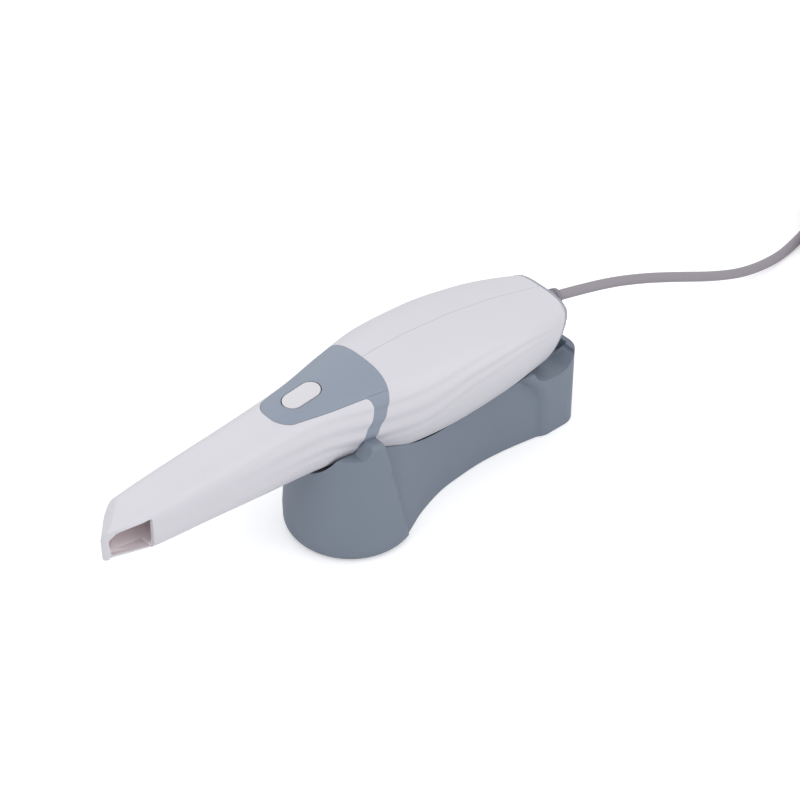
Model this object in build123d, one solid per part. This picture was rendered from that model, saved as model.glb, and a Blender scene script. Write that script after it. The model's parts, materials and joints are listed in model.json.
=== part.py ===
from build123d import *
import os
from bisect import bisect_right
from math import asin, atan, cos, degrees, pi, radians, sin, tan

os.makedirs("parts", exist_ok=True)

# Intraoral scanner resting in its desktop stand, in millimetres.
# The origin is the centre of the stand's round front foot, on the table.
# +X runs to the cable end, +Z is up, and the scan window looks to -Y.

# How far the tip reaches forwards
TIP_REACH = 115.6

# Sections of the handpiece: place along X, half width, top, bottom,
# sharpness of the upper and lower halves, share of the height above the widest line
SECTIONS = [
    (-TIP_REACH - 10.4, 5.0, 66.8, 54.6, 4.2, 4.2, 0.50),
    (-TIP_REACH + 15.6, 9.5, 69.0, 50.0, 4.1, 3.9, 0.50),
    (-0.65 * TIP_REACH, 11.1, 71.1, 48.0, 3.8, 3.4, 0.49),
    (-50.0, 12.4, 73.2, 45.1, 3.4, 2.9, 0.45),
    (-25.0, 14.2, 75.6, 41.6, 3.0, 2.3, 0.39),
    (0.0, 19.2, 78.1, 35.4, 2.7, 1.9, 0.33),
    (20.0, 23.4, 78.9, 28.2, 2.6, 1.75, 0.31),
    (45.0, 24.4, 77.3, 25.6, 2.6, 1.68, 0.30),
    (70.0, 22.8, 73.3, 26.3, 2.65, 1.66, 0.29),
    (92.0, 18.2, 67.8, 27.4, 2.9, 1.64, 0.24),
    (110.0, 12.6, 62.6, 28.8, 2.7, 1.64, 0.18),
]
SECTION_POINTS = 28

# Three shallow flutes along each flank: their heights at each section, and their depth
FLUTES = [
    (62.0, 60.7, 59.4, 0.0),
    (64.0, 60.0, 56.0, 0.0),
    (66.2, 61.2, 56.3, 0.05),
    (68.3, 62.4, 56.6, 0.25),
    (69.4, 62.8, 56.3, 0.45),
    (68.0, 60.0, 51.6, 0.5),
    (68.2, 59.9, 51.2, 0.5),
    (69.0, 64.2, 59.0, 0.45),
    (67.0, 63.4, 59.8, 0.35),
    (61.6, 58.4, 55.2, 0.15),
    (56.8, 54.0, 51.2, 0.0),
]
FLUTE_EDGE = 4.0
TOP_POINTS = 9
UNDERSIDE_POINTS = 11

# The tip comes off forwards and rises by this share of its travel
TIP_SLIDE_RISE = 0.11

# Walls and clearances
TIP_WALL = 1.8
SNOUT_WALL = 1.6
SLIP_GAP = 0.5
FIT_GAP = 0.3

# Tip sleeve, its slanted end and its scan window
END_SLANT = 41.0
FLANK_HALF = 5.9
FLANK_ANGLE = 12.5
NEAR_CORNER = 2.6
FAR_CORNER = 13.0
TOP_ROUND = 6.0
BOTTOM_ROUND = 2.0
TOP_RISE = 0.18
BOTTOM_RISE = 0.16
MIRROR_THICK = 1.1
WINDOW_FRONT_X = -TIP_REACH - 0.6
WINDOW_BACK_X = -TIP_REACH + 16.2
WINDOW_TOP_Z = 65.2
WINDOW_TOP_RISE = 0.8
WINDOW_CORNER = (3.3, 2.3)
WINDOW_FOOT = (1.3, 6.0)
LIP_BACK_Y = 7.4
LIP_FRONT_Y = 4.8
LIP_THICK = 0.4
LIP_SLOPE = 0.8

# Collar with its tongue and the band behind the tip
COLLAR_TOP_X = 6.8
COLLAR_LEAN = 0.36
BAND_WIDTH = 5.4
TONGUE_REACH = 39.7
TONGUE_HALF = 9.8
TONGUE_ROOT_HALF = 15.7
TONGUE_NOSE = 9.0
TONGUE_NOSE_ROUND = 7.5
TONGUE_FLOOR_Z = 66.0
TONGUE_FLOOR_GAP = 2.0
WING_X = -2.4
WING_ROUND = 3.0
COLLAR_LAP = 8.0

# Scan button and its switch
BUTTON_X = -23.0
BUTTON_LENGTH = 16.8
BUTTON_WIDTH = 8.6
BUTTON_PROUD = 0.7
BUTTON_TRAVEL = 0.8
BUTTON_HEIGHT = 2.6
FLANGE = 0.9
FLANGE_THICK = 0.8
PLUNGER_R = 1.6
PLUNGER_LENGTH = 2.0
SWITCH_SIZE = 6.0
SWITCH_HEIGHT = 2.6
SWITCH_FLOOR = 0.6
SWITCH_MARGIN = 11.0
BOARD_THICK = 1.2

# Snout and optics
SNOUT_REACH = 74.0
GLASS_THICK = 1.5
GLASS_LOW_Z = 54.4
GLASS_HIGH_Z = 65.4
GLASS_HALF = 6.2
BENCH_THICK = 2.0
BENCH_HALF = 10.0
BENCH_Z = 54.2
BENCH_REAR_X = 84.0
RIB_X = (34.0, 72.0)
RIB_LENGTH = 6.0
BARREL_R = 3.4
BARREL_Y = 3.6
BARREL_Z = 58.6
BARREL_FRONT_X = -SNOUT_REACH + 8.0
BARREL_REAR_X = BARREL_FRONT_X + 32.0
BARREL_RECESS = 1.2
BARREL_STEP = 0.8
CRADLE_INSET = 6.0
CRADLE_HALF = 2.0
CRADLE_SIDE = 0.6
POST_X = (24.0, 68.0)
POST_R = 1.6
POST_INSET = 2.0
POST_HEIGHT = 3.0
BOARD_FRONT_X = 18.0
BOARD_REAR_X = 80.0
BOARD_HALF = 9.5
CHIP_X = (26.0, 46.0, 62.0)
CHIP_SIZE = 9.0
CHIP_HEIGHT = 1.4
OPTICS_BOARD_HEIGHT = 12.0
SINK_X = (24.0, 68.0)
SINK_THICK = 2.0
FIN_COUNT = 7
FIN_THICK = 1.0
FIN_HEIGHT = 7.0

# Rear end
REAR_X = 101.7
REAR_TOP_Z = 64.4
REAR_LEAN = 0.14
CAP_THICK = 1.6
GASKET_THICK = 0.5
GLAND_Z = 56.6
GLAND_R = 4.7
GLAND_END_R = 3.6
GLAND_LENGTH = 9.5
GLAND_NECK_R = 3.6
GROOVE_HALF = 0.4
GROOVE_DEPTH = 0.6
NUT_RIM = 2.0
NUT_HEIGHT = 2.4

# Stand
FOOT_R = 28.0
FOOT_ROUND = 4.0
COLUMN_DRAFT = 5.3
COLUMN_TOP_Z = 54.6
COLUMN_REAR_X = 9.3
COLUMN_REAR_LEAN = 0.2
EAR_FRONT_X = -10.3
EAR_REAR_X = -2.2
EAR_ROUND = 2.5
FRONT_RIM_Z = 50.6
RIM_LOW_Z = 49.2
SADDLE_FOOT = [(0, 23.2), (8, 23.2), (13, 21.4), (18, 18.9), (24, 16.2),
               (36, 12.4), (47, 10.8), (60, 10.0), (74, 10.9), (92, 13.8)]
SADDLE_CREST = [(0, 15.0), (8, 14.8), (13, 14.4), (18, 13.6), (24, 12.5),
                (36, 11.0), (47, 10.0), (60, 9.6), (74, 10.5), (92, 13.2)]
SADDLE_SHAPE_Z = 45.0
PILLAR_FRONT_X = 86.0
PILLAR_REAR_X = 112.2
PILLAR_HALF = 15.0
PILLAR_ROUND = 8.5
PILLAR_LEAN = [(18.0, 86.0), (24.0, 84.9), (29.4, 81.8), (37.5, 75.0), (55.0, 75.0)]
SEAT_Z = 29.8
BACK_WALL_Z = 36.0
BACK_WALL = 3.2
EAR_RUN = 7.0
BACK_FOOT = (0.6, 48.6)
BELLY_LINE = [(4.5, 45.6), (14.7, 42.4), (45.0, 33.0), (70.0, 33.6), (79.0, 35.8)]
SEAT_FRONT = (84.8, 37.0)
STAND_WALL = 2.8
SKIRT_GAP = 0.4
PLATE_THICK = 2.0
PAD_THICK = 1.0
PLATE_LOW = PAD_THICK
PLATE_TOP = PLATE_LOW + PLATE_THICK
INNER_R = FOOT_R - STAND_WALL - 5.0
FRONT_SCREW_X = -0.43 * FOOT_R
SCREW_R = 1.5
SCREW_HEAD_R = 2.8
SCREW_HEAD_HEIGHT = 1.1
SCREW_GAP = 0.2
SCREW_DEPTH = 6.0
SCREW_HOLE_DEPTH = 9.0
MID_SCREW_X = 44.0
REAR_SCREW_X = 99.0
REAR_PAD = (98.0, 24.0, 9.0)
PLATE_GAP = 1.0
HOLLOW_GAP = 0.6
BALLAST_GAP = 3.0
BOSS_R = 3.2
SADDLE_LOW_Z = 18.0
HOLLOW_TOP_Z = 30.0
BALLAST_HEIGHT = 12.0

# Cable and plug
CABLE_R = 2.2
COIL_CENTRE = (300.0, -16.0)
COIL_R = 24.0
COIL_HALF_WIDTH = 9.2
COIL_HEIGHT = 13.8
RELIEF_LENGTH = 9.0
PLUG_BODY = (30.0, 15.6, 7.8)
PLUG_SHELL = (12.4, 12.0, 4.5)
PLUG_SHELL_WALL = 0.35
PLUG_FLOOR = 0.8
RELIEF_RISE = (0.5, 1.4)


# Larger than the object, for zones that cut right through it
WIDE = 60.0


def along(column, x):
    """Value of one column of SECTIONS at x, smooth and without overshoot."""
    xs = [row[0] for row in SECTIONS]
    vs = [row[column] for row in SECTIONS]
    i = max(0, min(len(xs) - 2, bisect_right(xs, x) - 1))
    steps = [(vs[k + 1] - vs[k]) / (xs[k + 1] - xs[k]) for k in range(len(xs) - 1)]

    def slope(k):
        if k == 0 or k == len(xs) - 1:
            return steps[min(k, len(steps) - 1)]
        before, after = steps[k - 1], steps[k]
        return 0.0 if before * after <= 0 else 2 * before * after / (before + after)

    h = xs[i + 1] - xs[i]
    t = (x - xs[i]) / h
    return (vs[i] * (2 * t**3 - 3 * t**2 + 1) + h * slope(i) * (t**3 - 2 * t**2 + t)
            + vs[i + 1] * (3 * t**2 - 2 * t**3) + h * slope(i + 1) * (t**3 - t**2))


def section_point(x, angle, inset):
    """Point on the handpiece's section at x, moved in by inset."""
    half = along(1, x) - inset
    top = along(2, x) - inset
    bottom = along(3, x) + inset
    wide_z = top - (top - bottom) * along(6, x)
    c, s = cos(angle), sin(angle)
    power = 2 / (along(4, x) if s >= 0 else along(5, x))
    reach = top - wide_z if s >= 0 else wide_z - bottom
    y = half * (abs(c) ** power) * (1 if c >= 0 else -1)
    z = wide_z + reach * (abs(s) ** power) * (1 if s >= 0 else -1)
    return Vector(x, y, z)


def angle_at(x, height):
    """Angle on the section at x that belongs to a height on its flank."""
    top, bottom = along(2, x), along(3, x)
    wide_z = top - (top - bottom) * along(6, x)
    if height >= wide_z:
        return asin(((height - wide_z) / (top - wide_z)) ** (along(4, x) / 2))
    return -asin(((wide_z - height) / (wide_z - bottom)) ** (along(5, x) / 2))


def flute_line(flutes):
    """Heights down one flank with their distance outwards: ridges between the flutes."""
    first, second, third, depth = flutes
    return [(first + FLUTE_EDGE, 0.0), (first + FLUTE_EDGE / 2, 0.3 * depth), (first, -depth),
            ((first + second) / 2, depth), (second, -depth), ((second + third) / 2, depth),
            (third, -depth), (third - FLUTE_EDGE / 2, 0.0), (third - FLUTE_EDGE, 0.0)]


def ring_points(x, inset=0.0):
    """Points round the section at x, from the middle of the underside."""
    angles = [-pi / 2 + 2 * pi * k / SECTION_POINTS for k in range(SECTION_POINTS)]
    return [section_point(x, angle, inset) for angle in angles]


def fluted_points(x, flutes):
    """Points round the outer section at x, with the flutes on both flanks."""
    line = flute_line(flutes)
    crown = angle_at(x, line[0][0])
    keel = angle_at(x, line[-1][0])
    under = (pi / 2 + keel) / (UNDERSIDE_POINTS // 2 + 1)
    over = (pi - 2 * crown) / (TOP_POINTS + 1)
    near_side, far_side = [], []
    for height, outwards in line:
        point = section_point(x, angle_at(x, height), 0.0)
        far_side.append(Vector(x, point.Y + outwards, point.Z))
        near_side.append(Vector(x, -point.Y - outwards, point.Z))
    half = UNDERSIDE_POINTS // 2
    start = [section_point(x, -pi / 2 + under * k, 0.0) for k in range(half + 1)]
    roof = [section_point(x, crown + over * (k + 1), 0.0) for k in range(TOP_POINTS)]
    end = [section_point(x, -pi / 2 - under * (half - k), 0.0) for k in range(half)]
    return start + far_side[::-1] + roof + near_side + end


def ring_curve(points, rings):
    """Closed curve through a ring of points, with the same parameters on all the rings."""
    shares = [0.0]
    count = len(points)
    for k in range(count):
        shares.append(shares[-1] + sum((ring[(k + 1) % count] - ring[k]).length for ring in rings))
    shares = [share / shares[-1] for share in shares]
    return Wire([Edge.make_spline(points, periodic=True, parameters=shares)])


def smooth_rings(inset=0.0):
    return [ring_points(row[0], inset) for row in SECTIONS]


def handpiece():
    """The handpiece's whole outer form as one loft."""
    rings = [fluted_points(row[0], flutes) for row, flutes in zip(SECTIONS, FLUTES)]
    return Solid.make_loft([ring_curve(ring, rings) for ring in rings])


def plain_form(inset):
    """The handpiece's form without flutes, moved in by inset."""
    rings = smooth_rings(inset)
    return Solid.make_loft([ring_curve(ring, rings) for ring in rings])


def side_zone(points, half=WIDE, centre_y=0.0):
    """Prism through the object along Y from an outline in X and Z."""
    outline = [Vector(x, centre_y + half, z) for x, z in points]
    return extrude(make_face(Polyline(outline, close=True)), amount=2 * half, dir=(0, -1, 0))


def leaning_zone(front_x, rear_x, lean, top_z):
    """Slice between two parallel planes that lean back towards the top."""
    low, high = -20.0, 120.0
    shift_low, shift_high = lean * (low - top_z), lean * (high - top_z)
    return side_zone([(front_x + shift_low, low), (rear_x + shift_low, low),
                      (rear_x + shift_high, high), (front_x + shift_high, high)])


def slice_along(front_x, rear_x):
    """Slice between two upright planes across X."""
    return side_zone([(front_x, -20), (rear_x, -20), (rear_x, 120), (front_x, 120)])


def surface_top(x):
    return along(2, x)


def button_frame(depth=0.0):
    """Frame on the tongue's surface at the button, Z along the press axis, outwards."""
    step = 1.0
    rise = (surface_top(BUTTON_X + step) - surface_top(BUTTON_X - step)) / (2 * step)
    place = Pos(BUTTON_X, 0, surface_top(BUTTON_X)) * Rot(0, -degrees(atan(rise)), 0)
    return place * Pos(0, 0, -depth)


def pill(length, width, height, bottom):
    """Upright pill shape standing on z = bottom in its own frame."""
    return Pos(0, 0, bottom) * extrude(SlotOverall(length, width), amount=height)


FAR = 400.0
CAP_FRONT = REAR_X - CAP_THICK
GASKET_FRONT = CAP_FRONT - GASKET_THICK
SNOUT_INSET = TIP_WALL + SLIP_GAP
BAND_FRONT_X = COLLAR_TOP_X - BAND_WIDTH


def ahead_of(top_x, lean, top_z):
    return leaning_zone(-FAR, top_x, lean, top_z)


def collar_z():
    return surface_top(COLLAR_TOP_X)


def tongue_zone(gap=0.0):
    """Prism over the tongue, seen from above: a blunt nose, straight flanks, wings behind."""
    nose_x = -TONGUE_REACH - gap
    root = (WING_X - gap, TONGUE_ROOT_HALF + gap)
    bend = (nose_x + TONGUE_NOSE, TONGUE_HALF + gap)
    slope = (root[1] - bend[1]) / (root[0] - bend[0])
    nose = (nose_x, bend[1] - slope * TONGUE_NOSE)
    wing_end = 40.0
    rear_x = WING_X + wing_end
    half_face = make_face(Polyline((nose_x, 0), nose, root, (root[0], wing_end), (rear_x, wing_end),
                                   (rear_x, 0), close=True))
    half_face = fillet(half_face.vertices().sort_by_distance(Vector(*nose))[0], TONGUE_NOSE_ROUND)
    half_face = fillet(half_face.vertices().sort_by_distance(Vector(*root))[0], WING_ROUND - gap)
    whole = half_face + mirror(half_face, about=Plane.XZ)
    floor_z = TONGUE_FLOOR_Z - (TONGUE_FLOOR_GAP if gap else 0.0)
    return Pos(0, 0, floor_z) * extrude(whole, amount=40, dir=(0, 0, 1))


def nose_zone(inset=0.0):
    """Upright prism round the tip's end: near flank, slanted end and big far corner."""
    slope = tan(radians(FLANK_ANGLE))
    slant = Vector(sin(radians(END_SLANT)), cos(radians(END_SLANT)), 0)
    near = FLANK_HALF - inset
    start = Vector(-TIP_REACH + inset / cos(radians(END_SLANT)), 0, 0)

    def meet(side):
        """Where the slanted end meets the flank on one side."""
        run = (side * (near + slope * (start.X + TIP_REACH))) / (slant.Y - side * slope * slant.X)
        return start + slant * run

    back_x = 40.0
    back_y = near + slope * (back_x + TIP_REACH)
    corner_near, corner_far = meet(-1), meet(1)
    face = make_face(Polyline((back_x, -back_y), (corner_near.X, corner_near.Y),
                              (corner_far.X, corner_far.Y), (back_x, back_y), close=True))
    face = fillet(face.vertices().sort_by_distance(corner_near)[0], max(NEAR_CORNER - inset, 0.4))
    face = fillet(face.vertices().sort_by_distance(corner_far)[0], FAR_CORNER - inset)
    return Pos(0, 0, 20) * extrude(face, amount=80, dir=(0, 0, 1))


def brow_zone():
    """Prism along the slanted end that rounds its top and bottom edges."""
    slant = Vector(sin(radians(END_SLANT)), cos(radians(END_SLANT)), 0)
    outwards = Vector(-slant.Y, slant.X, 0)
    reach = 150.0
    plane = Plane(origin=Vector(-TIP_REACH, 0, 0) - slant * reach, x_dir=outwards, z_dir=slant)
    up = 1 if plane.y_dir.Z > 0 else -1
    top, bottom, back = along(2, -TIP_REACH), along(3, -TIP_REACH), -240.0
    face = make_face(Polyline((0, up * bottom), (back, up * (bottom + BOTTOM_RISE * back)),
                              (back, up * (top - TOP_RISE * back)), (0, up * top), close=True))
    corners = face.vertices().group_by(Axis.X)[-1].sort_by(Axis.Y)
    low, high = (corners[0], corners[-1]) if up > 0 else (corners[-1], corners[0])
    face = fillet(high, TOP_ROUND)
    low = face.vertices().sort_by_distance((0, up * bottom))[0]
    face = fillet(low, BOTTOM_ROUND)
    return extrude(plane * face, amount=2 * reach, dir=slant)


def tip_outer(form):
    """The tip's outside, with the slanted end rounded into its sides."""
    body = form & leaning_zone(-FAR, BAND_FRONT_X, COLLAR_LEAN, collar_z())
    return body & nose_zone() & brow_zone()


def lip_cutter(front_z, back_z):
    """What is cut from the floor's near side, so that it ends in a thin sloping lip."""
    front = Vector(WINDOW_FRONT_X, -LIP_FRONT_Y, front_z)
    back = Vector(WINDOW_BACK_X, -LIP_BACK_Y, back_z)
    outwards = Vector(front.Y - back.Y, front.X - back.X, 0)
    section = Plane(origin=front, x_dir=outwards, z_dir=back - front)
    down = -1 if section.y_dir.Z > 0 else 1
    depth, width = 12.0, 25.0
    face = make_face(Polyline((0, -3 * down), (0, LIP_THICK * down), (-LIP_SLOPE * depth, depth * down),
                              (width, depth * down), (width, -3 * down), close=True))
    return extrude(section * face, amount=(back - front).length, dir=back - front)


def window_cutter():
    """Opening in the near wall of the tip; below its floor the wall is cut back to an edge."""
    front_z = along(3, WINDOW_FRONT_X) + TIP_WALL
    back_z = along(3, WINDOW_BACK_X) + TIP_WALL
    corner_x, corner_z = WINDOW_CORNER
    foot_x, foot_z = WINDOW_FOOT
    outline = [
        (WINDOW_FRONT_X + foot_x, front_z),
        (WINDOW_BACK_X, back_z),
        (WINDOW_BACK_X, WINDOW_TOP_Z + WINDOW_TOP_RISE),
        (WINDOW_FRONT_X + corner_x, WINDOW_TOP_Z),
        (WINDOW_FRONT_X, WINDOW_TOP_Z - corner_z),
        (WINDOW_FRONT_X, front_z + foot_z),
    ]
    box = side_zone(outline, 10.0, -12.0)
    box = fillet(box.edges().filter_by(Axis.Y), 0.8)
    return box + lip_cutter(front_z, back_z)


def tip_sleeve(form, core):
    outer = tip_outer(form)
    cavity = core & nose_zone(TIP_WALL)
    sleeve = outer - cavity - window_cutter() - tongue_zone(FIT_GAP)
    return sleeve


def tip_mirror(core):
    """Flat mirror on the inside of the slanted end."""
    angle = radians(END_SLANT)
    plane = Plane(origin=(-TIP_REACH, 0, WINDOW_TOP_Z), x_dir=(sin(angle), cos(angle), 0),
                  z_dir=(-cos(angle), sin(angle), 0))
    slab = plane * Pos(0, 0, -TIP_WALL - MIRROR_THICK / 2) * Box(WIDE, WIDE, MIRROR_THICK)
    return core & nose_zone(TIP_WALL) & slab


def collar(form, core):
    """Band behind the tip, its tongue on top and the lap under the shells."""
    zone = leaning_zone(BAND_FRONT_X + FIT_GAP, COLLAR_TOP_X, COLLAR_LEAN, collar_z())
    front = ahead_of(COLLAR_TOP_X, COLLAR_LEAN, collar_z())
    zone = zone + (tongue_zone() & front)
    ring = (form & zone) - core
    hole = button_frame() * pill(BUTTON_LENGTH + 2 * FIT_GAP, BUTTON_WIDTH + 2 * FIT_GAP, 20, -10)
    return ring - hole


def scan_button():
    """Pill-shaped key with a domed top and a flange that keeps it in."""
    top = pill(BUTTON_LENGTH, BUTTON_WIDTH, BUTTON_HEIGHT + BUTTON_PROUD, -BUTTON_HEIGHT)
    top = fillet(top.edges().group_by(Axis.Z)[-1], 0.6)
    flange = pill(BUTTON_LENGTH + 2 * FLANGE, BUTTON_WIDTH + 2 * FLANGE, FLANGE_THICK,
                  -BUTTON_HEIGHT - FLANGE_THICK)
    return button_frame() * (top + flange)


def button_plunger():
    """Pin under the key that works the switch."""
    depth = BUTTON_HEIGHT + FLANGE_THICK
    pin = Pos(0, 0, -depth - PLUNGER_LENGTH) * Cylinder(
        PLUNGER_R, PLUNGER_LENGTH, align=(Align.CENTER, Align.CENTER, Align.MIN))
    return button_frame() * pin


def switch_depth():
    """Depth of the switch's top below the tongue's surface."""
    return BUTTON_HEIGHT + FLANGE_THICK + BUTTON_TRAVEL + FIT_GAP


def tact_switch():
    """Square switch under the key, with the bore that its pin runs in."""
    body = Box(SWITCH_SIZE, SWITCH_SIZE, SWITCH_HEIGHT, align=(Align.CENTER, Align.CENTER, Align.MAX))
    depth = SWITCH_HEIGHT - SWITCH_FLOOR
    bore = Cylinder(PLUNGER_R + FIT_GAP, depth, align=(Align.CENTER, Align.CENTER, Align.MAX))
    return button_frame(switch_depth()) * (body - bore)


def switch_board(inner):
    """Board across the snout that carries the switch."""
    depth = switch_depth() + SWITCH_HEIGHT
    length = SWITCH_SIZE + SWITCH_MARGIN
    slab = Box(length, WIDE, BOARD_THICK, align=(Align.CENTER, Align.CENTER, Align.MAX))
    return inner & (button_frame(depth) * slab)


def snout(core, inner):
    """Tapered nose under the tip; it runs on under the collar and laps the shells."""
    rear_x = COLLAR_TOP_X + COLLAR_LAP
    length = slice_along(-SNOUT_REACH, rear_x)
    ledge_x = -SNOUT_REACH + GLASS_THICK
    ledge_rear = ledge_x + GLASS_THICK
    ledge = slice_along(ledge_x, ledge_rear)
    aperture = side_zone([(ledge_x, GLASS_LOW_Z), (ledge_rear, GLASS_LOW_Z),
                          (ledge_rear, GLASS_HIGH_Z), (ledge_x, GLASS_HIGH_Z)], GLASS_HALF)
    sleeve = (core & length) - inner + ((inner & ledge) - aperture)
    slot = pill(BUTTON_LENGTH + 2 * FLANGE + 2 * FIT_GAP, BUTTON_WIDTH + 2 * FLANGE + 2 * FIT_GAP, 12, -9)
    return sleeve - button_frame() * slot


def front_glass(inner):
    return inner & slice_along(-SNOUT_REACH, -SNOUT_REACH + GLASS_THICK)


def shells(form, core):
    """Left and right halves of the handle, split on the top seam."""
    zone = leaning_zone(COLLAR_TOP_X, COLLAR_TOP_X + 300, COLLAR_LEAN, collar_z())
    zone = zone & leaning_zone(-FAR, GASKET_FRONT, REAR_LEAN, REAR_TOP_Z)
    hollow = (form & zone) - core
    near = Pos(0, -50, 0) * Box(400, 100, 400)
    far = Pos(0, 50, 0) * Box(400, 100, 400)
    return hollow & near, hollow & far


def rear_frame():
    """Frame on the rear cap's outer face at the cable, Z pointing out along it."""
    x = REAR_X + REAR_LEAN * (GLAND_Z - REAR_TOP_Z)
    return Pos(x, 0, GLAND_Z) * Rot(0, 90 + degrees(atan(REAR_LEAN)), 0)


def cylinder_up(radius, height, bottom=0.0):
    return Pos(0, 0, bottom) * Cylinder(radius, height, align=(Align.CENTER, Align.CENTER, Align.MIN))


def rear_gasket(form):
    plate = form & leaning_zone(GASKET_FRONT, CAP_FRONT, REAR_LEAN, REAR_TOP_Z)
    return plate - rear_frame() * cylinder_up(GLAND_NECK_R + FIT_GAP, 30, -15)


def rear_cap(form):
    """Grey end plate with the bore that the cable gland passes through."""
    plate = form & leaning_zone(CAP_FRONT, REAR_X, REAR_LEAN, REAR_TOP_Z)
    return plate - rear_frame() * cylinder_up(GLAND_NECK_R, 30, -15)


def cable_gland():
    """Tapered strain relief with relief grooves, its neck through the cap and a lock nut."""
    cap = CAP_THICK + GASKET_THICK
    grooves = [(GLAND_LENGTH * k / 4, GLAND_R + (GLAND_END_R - GLAND_R) * k / 4) for k in (1, 2, 3)]
    profile = [(CABLE_R, 0.0), (GLAND_R, 0.0)]
    for z, r in grooves:
        front, rear, floor = z - GROOVE_HALF, z + GROOVE_HALF, r - GROOVE_DEPTH
        profile += [(r, front), (floor, front), (floor, rear), (r, rear)]
    profile += [(GLAND_END_R, GLAND_LENGTH), (CABLE_R, GLAND_LENGTH)]
    sleeve = revolve(Plane.XZ * make_face(Polyline(profile, close=True)), Axis.Z)
    neck = cylinder_up(GLAND_NECK_R, cap, -cap)
    nut = cylinder_up(GLAND_NECK_R + NUT_RIM, NUT_HEIGHT, -cap - NUT_HEIGHT)
    core = cylinder_up(CABLE_R, GLAND_LENGTH)
    return rear_frame() * (sleeve + core + neck + nut)


def level_slice(low_z, high_z):
    """Slice between two heights."""
    return box_between(-WIDE, 140, -WIDE, WIDE, low_z, high_z)


def box_between(x0, x1, y0, y1, z0, z1):
    return Pos((x0 + x1) / 2, (y0 + y1) / 2, (z0 + z1) / 2) * Box(x1 - x0, y1 - y0, z1 - z0)


def optical_bench(core, inner):
    """Plate along the handpiece; it spans the snout, and its cross ribs reach the shells."""
    low, high = BENCH_Z - BENCH_THICK, BENCH_Z
    front = -SNOUT_REACH + 3 * GLASS_THICK
    joint_x = COLLAR_TOP_X + COLLAR_LAP
    nose = inner & box_between(front, joint_x, -WIDE, WIDE, low, high)
    spine = box_between(joint_x - 4, BENCH_REAR_X, -BENCH_HALF, BENCH_HALF, low, high)
    ribs = [core & box_between(x, x + RIB_LENGTH, -WIDE, WIDE, low, high) for x in RIB_X]
    bench = nose + spine + ribs
    for y in (-BARREL_Y, BARREL_Y):
        side = BARREL_R - CRADLE_SIDE
        for x in (BARREL_FRONT_X + CRADLE_INSET, BARREL_REAR_X - CRADLE_INSET):
            block = box_between(x - CRADLE_HALF, x + CRADLE_HALF, y - side, y + side, high, BARREL_Z - 1)
            bench += block - Pos(x, y, BARREL_Z) * Rot(0, 90, 0) * Cylinder(BARREL_R, 10)
    for x in POST_X:
        for y in (-BOARD_HALF + POST_INSET, BOARD_HALF - POST_INSET):
            bench += Pos(x, y, high) * cylinder_up(POST_R, POST_HEIGHT)
    return bench


def lens_barrel(y):
    """Stepped barrel with a recessed front lens, lying along X."""
    length = BARREL_REAR_X - BARREL_FRONT_X
    r = BARREL_R
    lip, front, rear = r - BARREL_RECESS, r - BARREL_STEP / 2, r - BARREL_STEP
    profile = [(0, BARREL_RECESS), (lip, BARREL_RECESS / 2), (lip, 0), (front, 0), (front, 3),
               (r, 3), (r, length - 5), (rear, length - 5), (rear, length), (0, length)]
    shape = revolve(Plane.XZ * make_face(Polyline(profile, close=True)), Axis.Z)
    return Pos(BARREL_FRONT_X, y, BARREL_Z) * Rot(0, 90, 0) * shape


def optics_board(y):
    """Small upright board behind a barrel, standing on the bench."""
    half = BARREL_R - 0.2
    return box_between(BARREL_REAR_X, BARREL_REAR_X + BOARD_THICK, y - half, y + half,
                       BENCH_Z, BENCH_Z + OPTICS_BOARD_HEIGHT)


def main_board():
    """Board on the bench's posts, with three chips."""
    low = BENCH_Z + POST_HEIGHT
    high = low + BOARD_THICK
    board = box_between(BOARD_FRONT_X, BOARD_REAR_X, -BOARD_HALF, BOARD_HALF, low, high)
    half = CHIP_SIZE / 2
    chips = [box_between(x, x + CHIP_SIZE, -half, half, high, high + CHIP_HEIGHT) for x in CHIP_X]
    return board + chips


def heat_spreader():
    """Finned block under the bench."""
    front_x, rear_x = SINK_X
    top = BENCH_Z - BENCH_THICK
    low = top - SINK_THICK
    block = box_between(front_x, rear_x, -BENCH_HALF, BENCH_HALF, low, top)
    pitch = (2 * BENCH_HALF - FIN_THICK) / (FIN_COUNT - 1)
    starts = [-BENCH_HALF + k * pitch for k in range(FIN_COUNT)]
    return block + [box_between(front_x, rear_x, y, y + FIN_THICK, low - FIN_HEIGHT, low) for y in starts]


def column_front(inset=0.0):
    """Everything ahead of the flat cut behind the column."""
    rear_low, high_z = COLUMN_REAR_X - inset, COLUMN_TOP_Z + 5
    rear_high = rear_low - COLUMN_REAR_LEAN * high_z
    return side_zone([(-WIDE, 0), (rear_low, 0), (rear_high, high_z), (-WIDE, high_z)])


def column():
    """Round front column with drafted sides, a rounded foot and top, and a flat cut behind."""
    top_r = FOOT_R - COLUMN_TOP_Z * tan(radians(COLUMN_DRAFT))
    foot, shoulder = (FOOT_R, 0), (top_r, COLUMN_TOP_Z)
    profile = make_face(Polyline((0, 0), foot, shoulder, (0, COLUMN_TOP_Z), close=True))
    profile = fillet(profile.vertices().sort_by_distance(foot)[0], FOOT_ROUND)
    profile = fillet(profile.vertices().sort_by_distance(shoulder)[0], EAR_ROUND)
    whole = revolve(Plane.XZ * profile, Axis.Z)
    return whole & column_front()


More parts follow.
